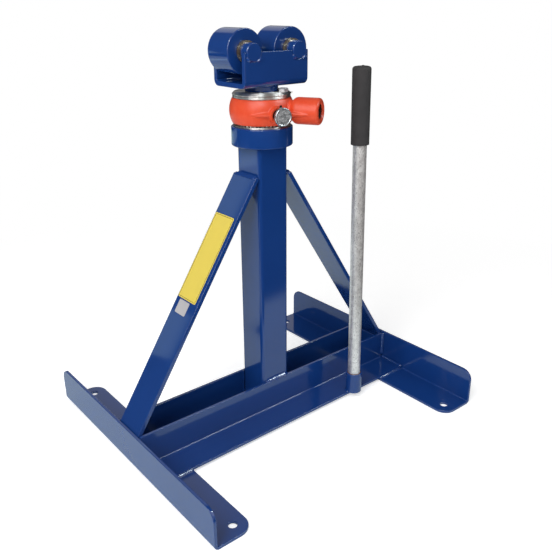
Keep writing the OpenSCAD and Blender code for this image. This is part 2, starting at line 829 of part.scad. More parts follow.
left_foot();
right_foot();
front_rail();
rear_rail();
column_tube();
left_brace();
right_brace();
top_collar();
guide_bush();
handle_holder();
bearing_lower_race();
bearing_balls();
ratchet_nut();
bearing_upper_race();
thrust_washer();
retaining_ring();
ring_bolts();
ratchet_body();
pawl_gland();
pawl_spring();
pawl_washer();
pawl_plunger();
cross_pin();
pawl_knob();
lifting_screw();
saddle_boss();
saddle_channel();
left_roller_pin();
right_roller_pin();
guide_block();
guide_washer();
guide_bolt();
left_roller();
left_bush();
right_roller();
right_bush();
handle_tube();
handle_grip();
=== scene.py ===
import bpy
import bmesh
import json
import math
import random
from mathutils import Matrix, Vector


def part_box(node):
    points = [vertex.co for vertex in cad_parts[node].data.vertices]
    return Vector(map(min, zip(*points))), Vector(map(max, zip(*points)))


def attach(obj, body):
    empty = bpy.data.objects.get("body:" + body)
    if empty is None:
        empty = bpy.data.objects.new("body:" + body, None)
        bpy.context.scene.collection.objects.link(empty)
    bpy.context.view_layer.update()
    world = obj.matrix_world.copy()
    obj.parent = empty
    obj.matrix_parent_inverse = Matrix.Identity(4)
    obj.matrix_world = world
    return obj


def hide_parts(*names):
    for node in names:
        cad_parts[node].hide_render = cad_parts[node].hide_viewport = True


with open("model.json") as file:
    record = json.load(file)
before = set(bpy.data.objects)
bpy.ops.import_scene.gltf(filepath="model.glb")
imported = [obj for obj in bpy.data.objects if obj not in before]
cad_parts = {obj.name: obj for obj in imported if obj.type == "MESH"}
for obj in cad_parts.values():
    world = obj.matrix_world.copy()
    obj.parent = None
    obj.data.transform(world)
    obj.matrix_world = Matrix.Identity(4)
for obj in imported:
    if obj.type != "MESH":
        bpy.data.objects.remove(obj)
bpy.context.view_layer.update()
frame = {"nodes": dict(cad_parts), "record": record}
scene = bpy.context.scene
scene.view_settings.view_transform = "Standard"
mm = 0.001
hair = 0.01 * mm  # a corner this close to a height is at it
sameSpot = 1e-6  # corners this close together, in metres, are one
print("frame loaded:", len(frame["nodes"]), "CAD nodes")


# camera, fitted to the photograph's straight edges: metres and degrees in the jack's own frame
photoView = {
    "place": (-0.8543, -1.0930, 0.8990),
    "yaw": 39.108,
    "pitch": -22.372,
    "roll": -0.448,
    "lens": 43.51,
    "sensor": 36.0,
    "farClip": 60,
}


def addCamera(view):
    yaw, pitch, roll = (math.radians(view[k]) for k in ("yaw", "pitch", "roll"))
    ahead = Vector((math.sin(yaw) * math.cos(pitch), math.cos(yaw) * math.cos(pitch), math.sin(pitch)))
    side = Vector((math.cos(yaw), -math.sin(yaw), 0))
    over = side.cross(ahead)
    right = math.cos(roll) * side + math.sin(roll) * over
    up = math.cos(roll) * over - math.sin(roll) * side
    data = bpy.data.cameras.new("photoCamera")
    data.sensor_fit = "HORIZONTAL"
    data.sensor_width = view["sensor"]
    data.lens = view["lens"]
    data.clip_end = view["farClip"]
    cam = bpy.data.objects.new("photoCamera", data)
    turn = Matrix((right, up, -ahead)).transposed().to_4x4()
    cam.matrix_world = Matrix.Translation(view["place"]) @ turn
    scene.collection.objects.link(cam)
    scene.camera = cam


addCamera(photoView)
print("camera set")


# materials: patterns and heights in millimetres
def linear(hexColour):
    parts = [int(hexColour[i:i + 2], 16) / 255 for i in (1, 3, 5)]
    return tuple(c / 12.92 if c <= 0.04045 else ((c + 0.055) / 1.055) ** 2.4 for c in parts) + (1.0,)


def addNode(tree, kind, links=None, **settings):
    node = tree.nodes.new(kind)
    for name, value in settings.items():
        setattr(node, name, value)
    for key, value in (links or {}).items():
        if isinstance(value, bpy.types.NodeSocket):
            tree.links.new(value, node.inputs[key])
        else:
            node.inputs[key].default_value = value
    return node


def perMm(size):
    return 1 / (size * mm)  # texture cells per metre for features this many millimetres wide


def newMaterial(name):
    mat = bpy.data.materials.new(name)
    mat.use_nodes = True
    tree = mat.node_tree
    tree.nodes.clear()
    place = addNode(tree, "ShaderNodeTexCoord").outputs["Object"]
    return mat, tree, place


def closeMaterial(mat, sockets):
    shader = addNode(mat.node_tree, "ShaderNodeBsdfPrincipled", sockets)
    addNode(mat.node_tree, "ShaderNodeOutputMaterial", {"Surface": shader.outputs[0]})
    return mat


enamelLook = {"colour": "#163d80", "deep": "#133674", "rough": (0.05, 0.13), "ior": 1.58,
              "cloud": 120.0, "peel": 3.2, "peelHeight": 0.6, "peelBump": 0.035}


def makeEnamel(look):
    # stoved gloss enamel on steel plate: deep colour, mirror-like gloss, faint orange peel
    mat, tree, place = newMaterial("navyGlossEnamel")
    cloud = addNode(tree, "ShaderNodeTexNoise", {
        "Vector": place, "Scale": perMm(look["cloud"]), "Detail": 3.0})
    peel = addNode(tree, "ShaderNodeTexNoise", {
        "Vector": place, "Scale": perMm(look["peel"]), "Detail": 1.5})
    tint = addNode(tree, "ShaderNodeMixRGB", {
        "Fac": cloud.outputs["Fac"], "Color1": linear(look["deep"]), "Color2": linear(look["colour"])})
    gloss = addNode(tree, "ShaderNodeMapRange", {
        "Value": cloud.outputs["Fac"], "To Min": look["rough"][0], "To Max": look["rough"][1]})
    bump = addNode(tree, "ShaderNodeBump", {
        "Height": peel.outputs["Fac"], "Strength": look["peelBump"], "Distance": look["peelHeight"] * mm})
    return closeMaterial(mat, {
        "Base Color": tint.outputs[0], "Roughness": gloss.outputs[0], "Normal": bump.outputs[0],
        "IOR": look["ior"]})


castingLook = {"colour": "#db401f", "pale": "#e15735", "rough": (0.30, 0.42), "ior": 1.38,
               "swell": 9.0, "swellHeight": 0.8, "swellBump": 0.25,
               "sand": 1.3, "sandHeight": 0.25, "sandBump": 0.16}


def makeCasting(look):
    # orange-red paint on a sand casting: soft sheen, grains and slow swells under the paint
    mat, tree, place = newMaterial("orangePaintOnCasting")
    swell = addNode(tree, "ShaderNodeTexNoise", {
        "Vector": place, "Scale": perMm(look["swell"]), "Detail": 2.0})
    sand = addNode(tree, "ShaderNodeTexNoise", {
        "Vector": place, "Scale": perMm(look["sand"]), "Detail": 3.0})
    tint = addNode(tree, "ShaderNodeMixRGB", {
        "Fac": swell.outputs["Fac"], "Color1": linear(look["colour"]), "Color2": linear(look["pale"])})
    gloss = addNode(tree, "ShaderNodeMapRange", {
        "Value": sand.outputs["Fac"], "To Min": look["rough"][0], "To Max": look["rough"][1]})
    swells = addNode(tree, "ShaderNodeBump", {
        "Height": swell.outputs["Fac"], "Strength": look["swellBump"], "Distance": look["swellHeight"] * mm})
    bump = addNode(tree, "ShaderNodeBump", {
        "Height": sand.outputs["Fac"], "Strength": look["sandBump"], "Distance": look["sandHeight"] * mm,
        "Normal": swells.outputs[0]})
    return closeMaterial(mat, {
        "Base Color": tint.outputs[0], "Roughness": gloss.outputs[0], "Normal": bump.outputs[0],
        "IOR": look["ior"]})


# what all steels and the bronze share; the quarter turn sets a highlight across the turning marks
steelLook = {"smearContrast": (0.35, 0.65), "markHeight": 0.1, "ringTurn": 0.25}

# bright turned steel: pale, its highlights stretched into rings
turnedLook = {"colour": "#ece9e5", "dull": "#bab5b0", "rough": (0.40, 0.50), "smear": 30.0, "marks": 0.8,
              "bump": 0.02, "metal": 1.0, "rings": 0.95}
# plated fasteners: an even, dull silver
platedLook = {"colour": "#c9c8cb", "dull": "#a3a1a4", "rough": (0.36, 0.48), "smear": 25.0, "marks": 1.1,
              "bump": 0.04, "metal": 0.8}
# zinc on the knob: cloudy, with wavy reflections; its marks are drawn coarser than life, so that they show
zincLook = {"colour": "#d9dadc", "dull": "#7d7f81", "rough": (0.16, 0.32), "smear": 8.0, "marks": 4.0,
            "bump": 0.55, "metal": 0.85}
# oiled dark steel: nearly black, with soft glints
oiledLook = {"colour": "#4a4846", "dull": "#2b2a2a", "rough": (0.30, 0.50), "smear": 10.0, "marks": 1.2,
             "bump": 0.15, "metal": 1.0}
# inside of the handle socket's bore: brown-black and matt, painted shade deep in the bore
boreShadeLook = {"colour": "#3a2019", "dull": "#1f1412", "rough": (0.55, 0.75), "smear": 8.0, "marks": 1.5,
           "bump": 0.3, "metal": 0.2}
# oiled screw thread: grey steel with a wet gloss
threadLook = {"colour": "#b4b0aa", "dull": "#7f7a73", "rough": (0.24, 0.38), "smear": 25.0, "marks": 1.5,
              "bump": 0.02, "metal": 0.85}
# turned bronze bushes: a warm grey-brown, half glossy
bronzeLook = {"colour": "#c2b49a", "dull": "#846f58", "rough": (0.24, 0.40), "smear": 9.0, "marks": 1.0,
              "bump": 0.06, "metal": 0.85}


def makeSteel(name, look):
    # turned or drawn metal: fine tool marks and slow smears of oil in its gloss; rings of turning marks
    # round the column's axis stretch its highlights
    mat, tree, place = newMaterial(name)
    smear = addNode(tree, "ShaderNodeTexNoise", {
        "Vector": place, "Scale": perMm(look["smear"]), "Detail": 2.0})
    marks = addNode(tree, "ShaderNodeTexNoise", {
        "Vector": place, "Scale": perMm(look["marks"]), "Detail": 2.0})
    contrast = steelLook["smearContrast"]
    patch = addNode(tree, "ShaderNodeMapRange", {
        "Value": smear.outputs["Fac"], "From Min": contrast[0], "From Max": contrast[1]})
    tint = addNode(tree, "ShaderNodeMixRGB", {
        "Fac": patch.outputs[0], "Color1": linear(look["colour"]), "Color2": linear(look["dull"])})
    gloss = addNode(tree, "ShaderNodeMapRange", {
        "Value": patch.outputs[0], "To Min": look["rough"][0], "To Max": look["rough"][1]})
    bump = addNode(tree, "ShaderNodeBump", {
        "Height": marks.outputs["Fac"], "Strength": look["bump"], "Distance": steelLook["markHeight"] * mm})
    sockets = {
        "Base Color": tint.outputs[0], "Roughness": gloss.outputs[0], "Normal": bump.outputs[0],
        "Metallic": look["metal"]}
    if "rings" in look:
        around = addNode(tree, "ShaderNodeTangent", direction_type="RADIAL", axis="Z")
        sockets["Tangent"] = around.outputs[0]
        sockets["Anisotropic"] = look["rings"]
        sockets["Anisotropic Rotation"] = steelLook["ringTurn"]
    return closeMaterial(mat, sockets)


galvanisedLook = {"colour": "#f6f1ee", "dark": "#dad4d1", "rough": (0.38, 0.50), "metal": 0.76,
                  "spangle": 7.0, "bend": 12.0, "bendShare": 0.01, "fleck": 1.5, "drawn": 0.4,
                  "spots": (0.57, 0.70), "spotDepth": 0.75, "spotColour": "#5c5b59",
                  "fleckHeight": 0.3, "fleckBump": 0.8}


def makeGalvanised(look):
    # hot-dip galvanised tube: zinc spangles in crystals of several greys, small dark flecks drawn along it
    mat, tree, place = newMaterial("galvanisedSpangle")
    bend = addNode(tree, "ShaderNodeTexNoise", {
        "Vector": place, "Scale": perMm(look["bend"]), "Detail": 2.0})
    shifted = addNode(tree, "ShaderNodeMixRGB", {
        "Fac": look["bendShare"], "Color1": place, "Color2": bend.outputs["Color"]})
    cells = addNode(tree, "ShaderNodeTexVoronoi", {
        "Vector": shifted.outputs[0], "Scale": perMm(look["spangle"])})
    grey = addNode(tree, "ShaderNodeRGBToBW", {"Color": cells.outputs["Color"]})
    drawn = addNode(tree, "ShaderNodeMapping", {"Vector": place, "Scale": (1, 1, look["drawn"])})
    flecks = addNode(tree, "ShaderNodeTexNoise", {
        "Vector": drawn.outputs[0], "Scale": perMm(look["fleck"]), "Detail": 3.0})
    spots = addNode(tree, "ShaderNodeMapRange", {
        "Value": flecks.outputs["Fac"], "From Min": look["spots"][0], "From Max": look["spots"][1],
        "To Min": 0.0, "To Max": look["spotDepth"]})
    crystals = addNode(tree, "ShaderNodeMixRGB", {
        "Fac": grey.outputs[0], "Color1": linear(look["dark"]), "Color2": linear(look["colour"])})
    tint = addNode(tree, "ShaderNodeMixRGB", {
        "Fac": spots.outputs[0], "Color1": crystals.outputs[0], "Color2": linear(look["spotColour"])})
    gloss = addNode(tree, "ShaderNodeMapRange", {
        "Value": grey.outputs[0], "To Min": look["rough"][0], "To Max": look["rough"][1]})
    bump = addNode(tree, "ShaderNodeBump", {
        "Height": flecks.outputs["Fac"], "Strength": look["fleckBump"],
        "Distance": look["fleckHeight"] * mm})
    return closeMaterial(mat, {
        "Base Color": tint.outputs[0], "Roughness": gloss.outputs[0], "Normal": bump.outputs[0],
        "Metallic": look["metal"]})


gripLook = {"colour": "#2c2a2b", "scuffed": "#3d3a3b", "rough": (0.62, 0.80), "sheen": 0.3, "scuff": 25.0,
            "pebble": 1.4, "pebbleHeight": 0.3, "pebbleBump": 0.35}


def makeGrip(look):
    # dipped vinyl over the tube: matt black with a pebbled skin, greyer where hands rub it
    mat, tree, place = newMaterial("pebbledBlackVinyl")
    pebble = addNode(tree, "ShaderNodeTexVoronoi", {"Vector": place, "Scale": perMm(look["pebble"])})
    scuff = addNode(tree, "ShaderNodeTexNoise", {
        "Vector": place, "Scale": perMm(look["scuff"]), "Detail": 4.0})
    tint = addNode(tree, "ShaderNodeMixRGB", {
        "Fac": scuff.outputs["Fac"], "Color1": linear(look["colour"]), "Color2": linear(look["scuffed"])})
    gloss = addNode(tree, "ShaderNodeMapRange", {
        "Value": scuff.outputs["Fac"], "To Min": look["rough"][0], "To Max": look["rough"][1]})
    bump = addNode(tree, "ShaderNodeBump", {
        "Height": pebble.outputs["Distance"], "Strength": look["pebbleBump"],
        "Distance": look["pebbleHeight"] * mm})
    return closeMaterial(mat, {
        "Base Color": tint.outputs[0], "Roughness": gloss.outputs[0], "Normal": bump.outputs[0],
        "Specular IOR Level": look["sheen"]})


stickerLook = {"patch": 30.0, "rough": (0.28, 0.42)}


def makeSticker(name, colour, faded):
    # vinyl or paper film, its ink, or a stain: flat colour, slightly faded in patches, a soft gloss
    mat, tree, place = newMaterial(name)
    fade = addNode(tree, "ShaderNodeTexNoise", {
        "Vector": place, "Scale": perMm(stickerLook["patch"]), "Detail": 5.0})
    tint = addNode(tree, "ShaderNodeMixRGB", {
        "Fac": fade.outputs["Fac"], "Color1": linear(colour), "Color2": linear(faded)})
    rough = stickerLook["rough"]
    gloss = addNode(tree, "ShaderNodeMapRange", {
        "Value": fade.outputs["Fac"], "To Min": rough[0], "To Max": rough[1]})
    return closeMaterial(mat, {"Base Color": tint.outputs[0], "Roughness": gloss.outputs[0]})


enamel = makeEnamel(enamelLook)
casting = makeCasting(castingLook)
turned = makeSteel("turnedBrightSteel", turnedLook)
plated = makeSteel("platedFastenerSteel", platedLook)
zinc = makeSteel("cloudyZincSteel", zincLook)
oiled = makeSteel("oiledDarkSteel", oiledLook)
# brown-black painted shade for the inside of the handle socket's bore
boreShadeMaterial = makeSteel("paintedShadeBore", boreShadeLook)
threadSteel = makeSteel("oiledThreadSteel", threadLook)
bronze = makeSteel("turnedBronze", bronzeLook)
galvanised = makeGalvanised(galvanisedLook)
vinylGrip = makeGrip(gripLook)
yellowFilm = makeSticker("yellowVinylFilm", "#e8d158", "#dcc656")
whiteFilm = makeSticker("whitePaperFilm", "#bebcbf", "#adabae")
inkFilm = makeSticker("darkInkLine", "#4a431f", "#5c5428")
rust = makeSticker("rustStain", "#4a2c22", "#6b3d2c")
print("materials made")


# pieces
def bodyOf(nodeName):
    for name, nodeNames in frame["record"]["behaviour"]["bodies"].items():
        if nodeName in nodeNames:
            return name


def finishMesh(name, bm, mat, sharpAngle=40):
    bmesh.ops.recalc_face_normals(bm, faces=bm.faces)
    mesh = bpy.data.meshes.new(name)
    bm.to_mesh(mesh)
    bm.free()
    mesh.polygons.foreach_set("use_smooth", [True] * len(mesh.polygons))
    mesh.set_sharp_from_angle(angle=math.radians(sharpAngle))
    mesh.materials.append(mat)
    obj = bpy.data.objects.new(name, mesh)
    scene.collection.objects.link(obj)
    return obj


def standFor(obj, nodeName):
    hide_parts(nodeName)
    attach(obj, bodyOf(nodeName))


def applyModifiers(obj):
    done = bpy.data.meshes.new_from_object(obj.evaluated_get(bpy.context.evaluated_depsgraph_get()))
    obj.modifiers.clear()
    obj.data = done


ringLook = {"cone": 4.0, "near": 1.6}  # the ring's top edge is turned to a cone, in mm


def turnCone(bm, nodeName, look):
    low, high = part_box(nodeName)
    rim = -low[1]
    for vert in bm.verts:
        radius = vert.co.xy.length
        nearRim = abs(radius - rim) < look["near"] * mm
        if nearRim and vert.co.z > high[2] - hair:
            vert.co.xy *= (rim - look["cone"] * mm) / radius
        elif nearRim and vert.co.z > high[2] - look["near"] * mm:
            vert.co.z = high[2] - look["cone"] * mm


braceLook = {"cut": 17.0}  # the braces' upper ends are cut nearly level, this many mm down their slope


def braceFootHeight():
    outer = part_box("left_brace")[0][0]
    corners = frame["nodes"]["left_brace"].data.vertices
    return max(v.co.z for v in corners if v.co.x < outer + mm)


def cutBrace(bm, nodeName, look):
    low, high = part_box(nodeName)
    outer = max(low[0], high[0], key=abs)
    inner = min(low[0], high[0], key=abs)
    down = Vector((outer - inner, 0, braceFootHeight() - high[2])).normalized()
    for vert in bm.verts:
        if vert.co.z > high[2] - hair:
            vert.co += look["cut"] * mm * down


reshaped = {
    "retaining_ring": (turnCone, ringLook),
    "left_brace": (cutBrace, braceLook),
    "right_brace": (cutBrace, braceLook),
}
edgeLook = {"flatAngle": 1.5, "cornerAngle": 38, "innerSteps": 3, "outerSteps": 2, "normalWeight": 80}


def softCopy(nodeName, edge, mat, innerRound, look):
    bm = bmesh.new()
    bm.from_mesh(frame["nodes"][nodeName].data)
    bmesh.ops.remove_doubles(bm, verts=bm.verts, dist=sameSpot)
    if nodeName in reshaped:
        reshape, shapeLook = reshaped[nodeName]
        reshape(bm, nodeName, shapeLook)
    flat = math.radians(look["flatAngle"])
    bmesh.ops.dissolve_limit(bm, angle_limit=flat, verts=bm.verts, edges=bm.edges)
    for inside, size, steps in ((True, innerRound, look["innerSteps"]), (False, edge, look["outerSteps"])):
        corners = [e for e in bm.edges if len(e.link_faces) == 2 and e.is_convex != inside
                   and e.calc_face_angle() > math.radians(look["cornerAngle"])]
        bmesh.ops.bevel(bm, geom=corners, offset=size * mm, offset_type="OFFSET", segments=steps,
                        profile=0.5, affect="EDGES", clamp_overlap=True)
    obj = finishMesh(nodeName + ".edged", bm, mat)
    even = obj.modifiers.new("evenNormals", "WEIGHTED_NORMAL")
    even.keep_sharp = True
    even.weight = look["normalWeight"]
    standFor(obj, nodeName)


# plates and turned pieces: the edge that grinding and paint leave, and the round of the inner corners, in mm
edgedPieces = {
    "left_foot": (1.1, enamel, 2.4),
    "right_foot": (1.1, enamel, 2.4),
    "front_rail": (1.0, enamel, 2.4),
    "rear_rail": (1.0, enamel, 2.4),
    "column_tube": (0.8, enamel, 0.5),
    "left_brace": (1.2, enamel, 0.5),
    "right_brace": (1.2, enamel, 0.5),
    "top_collar": (0.7, enamel, 0.5),
    "handle_holder": (0.9, enamel, 0.5),
    "saddle_boss": (0.5, enamel, 0.5),
    "saddle_channel": (1.2, enamel, 1.5),
    "left_roller_pin": (0.45, enamel, 0.5),
    "right_roller_pin": (0.45, enamel, 0.5),
    "left_roller": (0.9, enamel, 0.5),
    "right_roller": (0.9, enamel, 0.5),
    "retaining_ring": (0.5, turned, 0.3),
    "thrust_washer": (0.4, turned, 0.3),
    "bearing_lower_race": (0.3, turned, 0.2),
    "pawl_knob": (1.2, zinc, 0.3),
    "ring_bolts": (0.4, plated, 0.2),
    "pawl_washer": (0.5, plated, 0.2),
}
for nodeName, (edge, mat, innerRound) in edgedPieces.items():
    softCopy(nodeName, edge, mat, innerRound, edgeLook)
print("edged pieces:", len(edgedPieces))

# pieces whose solid is already right
plainPieces = {
    "guide_bush": bronze, "bearing_balls": turned,
    "ratchet_nut": bronze, "bearing_upper_race": plated, "pawl_gland": oiled, "pawl_spring": plated,
    "pawl_plunger": plated, "cross_pin": oiled, "guide_block": oiled,
    "guide_washer": plated, "guide_bolt": plated, "left_bush": bronze, "right_bush": bronze,
    "handle_tube": galvanised, "handle_grip": vinylGrip,
}
for nodeName, mat in plainPieces.items():
    node = frame["nodes"][nodeName]
    node.data.materials.clear()
    node.data.materials.append(mat)
print("plain pieces:", len(plainPieces))


# ratchet head casting: the CAD solid with cast fillets, its machined faces kept on the solid; mm and degrees
headLook = {
    "voxel": 1.1, "blend": 0.5, "smoothing": 7, "keepTriangles": 0.35, "sharp": 60,
    "boreRadius": 57.0, "rimKeep": 2.0, "pawlAzimuth": -102.0, "pawlBoreRadius": 13.0,
    "socketBoreRadius": 20.5, "socketMouth": 10.0, "shadeRadius": 16.2, "shadeFrom": 1.0,
}


def nearAxis(place, azimuth, height, radius, start):
    along = Vector((math.cos(math.radians(azimuth)), math.sin(math.radians(azimuth)), 0))
    away = place - Vector((0, 0, height))
    reach = away.dot(along)
    return reach > start and (away - reach * along).length < radius


def makeHead(look):
    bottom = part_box("ratchet_body")[0][2]
    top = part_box("thrust_washer")[0][2]
    pawlLow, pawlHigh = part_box("pawl_knob")
    pawlHeight = (pawlLow[2] + pawlHigh[2]) / 2
    socket = next(m for m in frame["record"]["mounts"] if m["name"] == "handle_socket")
    socketAzimuth = math.degrees(math.atan2(socket["axis"][1], socket["axis"][0]))
    socketHeight = socket["pos_m"][2]
    socketStart = Vector(socket["pos_m"]).xy.length - look["socketMouth"] * mm
    bm = bmesh.new()
    bm.from_mesh(frame["nodes"]["ratchet_body"].data)
    bmesh.ops.remove_doubles(bm, verts=bm.verts, dist=sameSpot)
    obj = finishMesh("ratchetHead.casting", bm, casting, look["sharp"])
    voxels = obj.modifiers.new("castSkin", "REMESH")
    voxels.mode = "VOXEL"
    voxels.voxel_size = look["voxel"] * mm
    voxels.use_smooth_shade = True
    applyModifiers(obj)
    cast = obj.vertex_groups.new(name="cast")
    machined = obj.vertex_groups.new(name="machined")
    for vert in obj.data.vertices:
        place = vert.co
        bore = math.hypot(place.x, place.y) < look["boreRadius"] * mm
        rim = not bottom + look["rimKeep"] * mm < place.z < top - look["rimKeep"] * mm
        mouth = nearAxis(place, socketAzimuth, socketHeight, look["socketBoreRadius"] * mm, socketStart)
        pawlHole = nearAxis(place, look["pawlAzimuth"], pawlHeight, look["pawlBoreRadius"] * mm, 0)
        group = machined if bore or rim or mouth or pawlHole else cast
        group.add([vert.index], 1.0, "REPLACE")
    blend = obj.modifiers.new("castFillets", "SMOOTH")
    blend.factor = look["blend"]
    blend.iterations = look["smoothing"]
    blend.vertex_group = "cast"
    fewer = obj.modifiers.new("fewerFaces", "DECIMATE")
    fewer.ratio = look["keepTriangles"]
    seats = obj.modifiers.new("trueSeats", "SHRINKWRAP")
    seats.target = frame["nodes"]["ratchet_body"]
    seats.vertex_group = "machined"
    applyModifiers(obj)
    obj.vertex_groups.clear()
    obj.data.materials.append(boreShadeMaterial)
    shadeEnd = socketStart + (look["socketMouth"] - look["shadeFrom"]) * mm
    boreEnd = socketStart - socket["dims"]["length_mm"] * mm
    for face in obj.data.polygons:  # painted shade inside the socket's bore, from just within its mouth
        inBore = nearAxis(face.center, socketAzimuth, socketHeight, look["shadeRadius"] * mm, boreEnd)
        if inBore and face.center.xy.length < shadeEnd:
            face.material_index = 1
    standFor(obj, "ratchet_body")


makeHead(headLook)
print("ratchet head cast")


# lifting screw: right-hand trapezoidal thread on the CAD bar; crest and flank are shares of the pitch
screwLook = {"pitch": 6.35, "depth": 3.2, "crest": 0.37, "flank": 0.13, "sides": 72, "sharp": 30,
             "spigot": 15.0, "spigotSides": 48}


def makeScrew(look):
    low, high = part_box("lifting_screw")
    radius = (high[0] - low[0]) / 2
    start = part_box("guide_block")[1][2]
    end = high[2]
    pitch = look["pitch"] * mm
    depth = look["depth"] * mm
    crestEnd = look["flank"] + look["crest"]
    profile = ((0, 0), (look["flank"], 1), (crestEnd, 1), (crestEnd + look["flank"], 0))
    turns = range(-1, int((end - start) / pitch) + 2)
    bm = bmesh.new()

    def column(step):
        angle = math.tau * step / look["sides"]
        made = []
        for turn in turns:
            for rise, share in profile:
                height = start + pitch * (turn + rise + step / look["sides"])
                inside = min(max(height, start), end)
                fade = min(1, (inside - start) / pitch, (end - inside) / pitch)
                r = radius - depth + depth * share * fade
                made.append(bm.verts.new((r * math.cos(angle), r * math.sin(angle), inside)))
        return made

    columns = [column(step) for step in range(look["sides"] + 1)]
    for left, right in zip(columns, columns[1:]):
        for i in range(len(left) - 1):
            bm.faces.new((left[i], right[i], right[i + 1], left[i + 1]))
    bmesh.ops.remove_doubles(bm, verts=bm.verts, dist=sameSpot)
    rims = [e for e in bm.edges if len(e.link_faces) == 1]
    bmesh.ops.edgeloop_fill(bm, edges=rims)
    spigot = bmesh.ops.create_cone(
        bm, cap_ends=True, segments=look["spigotSides"], radius1=look["spigot"] * mm,
        radius2=look["spigot"] * mm, depth=start - low[2])
    bmesh.ops.translate(bm, verts=spigot["verts"], vec=(0, 0, (start + low[2]) / 2))
    standFor(finishMesh("liftingScrew.thread", bm, threadSteel, look["sharp"]), "lifting_screw")


makeScrew(screwLook)
print("screw threaded")


# weld beads: runs along the seams, nearly flat across as fillet welds are, faintly rippled, painted with the
# plates; step and ripple in mm, the ripple's depth and the wander as shares of a bead's size
weldLook = {"step": 0.7, "ripple": 4.0, "rippleDepth": 0.03, "wander": 0.30, "drift": 0.85, "flat": 1.1,
            "sides": 20, "endReach": 1.5, "endShare": 0.08, "leastSteps": 6, "steep": 0.5, "sharp": 70,
            "seed": 41}
# a bead's size is its reach from the seam, in mm; a brace's top has two runs, each with its way out and lift
beadLook = {
    "braceTops": ((3.0, 0.0, 6.5), (8.0, 0.8, 4.8)), "braceFoot": 3.2, "braceUnder": 3.0, "braceEdge": 2.6,
    "braceInset": 2.0, "railEnd": 4.6, "railLeg": 3.6, "railToe": 4.0, "railOut": 2.0, "columnCorner": 2.6,
    "railTop": 6.4, "collar": 2.6, "sleeve": 2.4, "tack": 4.2, "tackStarts": (208, 292), "tackTurn": 40,
    "boss": 2.6,
    "railTopReach": (-0.78, 0.9),  # in half column widths
    "uprightFrom": 3.0, "legHeights": (2.2, 2.0), "cornerFrom": 2.0,  # in plate thicknesses
}
arcSteps = 32
fullRing = (90, 450)  # degrees, a whole turn that starts at the back


def arcPath(centre, radius, start, end, axis):
    points = []
    for i in range(arcSteps + 1):
        a = math.radians(start + (end - start) * i / arcSteps)
        across, over = radius * math.cos(a), radius * math.sin(a)
        away = (across, over, 0) if axis == "z" else (across, 0, over)
        points.append(Vector(centre) + Vector(away))
    return points


def addBead(bm, points, size, look, rng):
    points = [Vector(p) for p in points]
    lengths = [0.0]
    for p, q in zip(points, points[1:]):
        lengths.append(lengths[-1] + (q - p).length)
    count = max(look["leastSteps"], int(lengths[-1] / (look["step"] * mm)))
    level = all(abs((q - p).normalized().z) < look["steep"] for p, q in zip(points, points[1:]))
    upright = Vector((0, 0, 1) if level else (0, 1, 0))
    flat = look["flat"]
    rings = []
    wander = 0.0
    for i in range(count + 1):
        s = lengths[-1] * i / count
        k = max(j for j in range(len(points) - 1) if lengths[j] <= s + sameSpot * mm)
        share = (s - lengths[k]) / max(lengths[k + 1] - lengths[k], sameSpot * mm)
        place = points[k].lerp(points[k + 1], share)
        along = (points[k + 1] - points[k]).normalized()
        side = along.cross(upright).normalized()
        over = along.cross(side)
        wander = look["drift"] * wander + (1 - look["drift"]) * rng.uniform(-1, 1)
        ripple = math.sin(math.tau * s / (look["ripple"] * mm))
        wave = 1 + look["rippleDepth"] * ripple + look["wander"] * wander
        end = min(s, lengths[-1] - s) / (look["endReach"] * size * mm)
        r = size * mm * wave * math.sqrt(min(1, look["endShare"] + end))
        ring = []
        for j in range(look["sides"]):
            a = math.tau * j / look["sides"]
            reach = r * (abs(math.cos(a)) ** flat + abs(math.sin(a)) ** flat) ** (-1 / flat)
            ring.append(bm.verts.new(place + reach * (math.cos(a) * side + math.sin(a) * over)))
        rings.append(ring)
    for p, q in zip(rings, rings[1:]):
        for j in range(look["sides"]):
            bm.faces.new((p[j], q[j], q[(j + 1) % look["sides"]], p[(j + 1) % look["sides"]]))
    bm.faces.new(rings[0])
    bm.faces.new(rings[-1])


